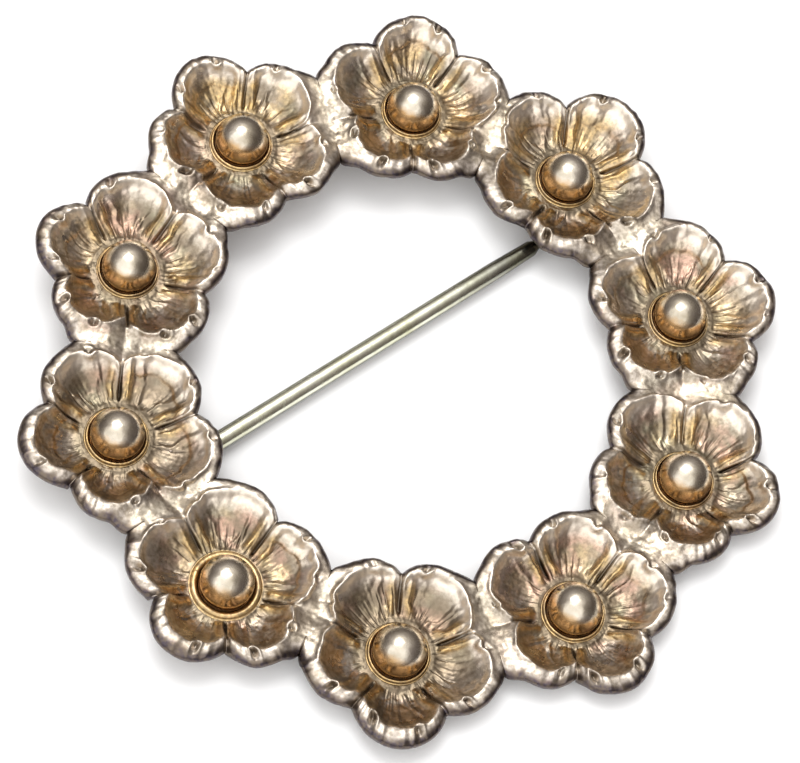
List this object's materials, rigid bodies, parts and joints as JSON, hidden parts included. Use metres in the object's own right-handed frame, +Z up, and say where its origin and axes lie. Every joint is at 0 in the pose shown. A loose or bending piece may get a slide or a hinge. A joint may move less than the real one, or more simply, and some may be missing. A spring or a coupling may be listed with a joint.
{
  "type": "wreath brooch",
  "caption": "Ring of open five-petalled blossoms with a polished bead in each, worn as a brooch, with a hinged pin stem that hooks into a catch on its back.",
  "frame": {"origin": "middle of the bounding box in X and Y, at the plane the brooch lies on", "axes": "+Z up, out of the front of the blossoms; +Y away from the viewer of the picture, towards the blossom at the top; +X to the right; the brooch leans by about three degrees, as it does when it lies on its own pin fittings"},
  "size_m": [0.0404, 0.039, 0.0042],
  "materials": {
    "gilt_silver": "polished cast silver with worn gilding and dark tarnish in the hollows",
    "polished_silver": "high polish",
    "plain_silver": "polished wire"
  },
  "bodies": {
    "wreath": {"wreath": "gilt_silver", "bead_01": "polished_silver", "bead_02": "polished_silver", "bead_03": "polished_silver", "bead_04": "polished_silver", "bead_05": "polished_silver", "bead_06": "polished_silver", "bead_07": "polished_silver", "bead_08": "polished_silver", "bead_09": "polished_silver", "bead_10": "polished_silver", "hinge_rivet": "plain_silver"},
    "pin": {"pin_stem": "plain_silver"}
  },
  "joints": [
    {"name": "pin_swing", "type": "hinge", "parent": "wreath", "child": "pin", "pos_m": [0.00404, 0.01114, 0.00081], "axis": [0.7808, -0.4804, 0.3995], "range_deg": [0, 75]}
  ]
}
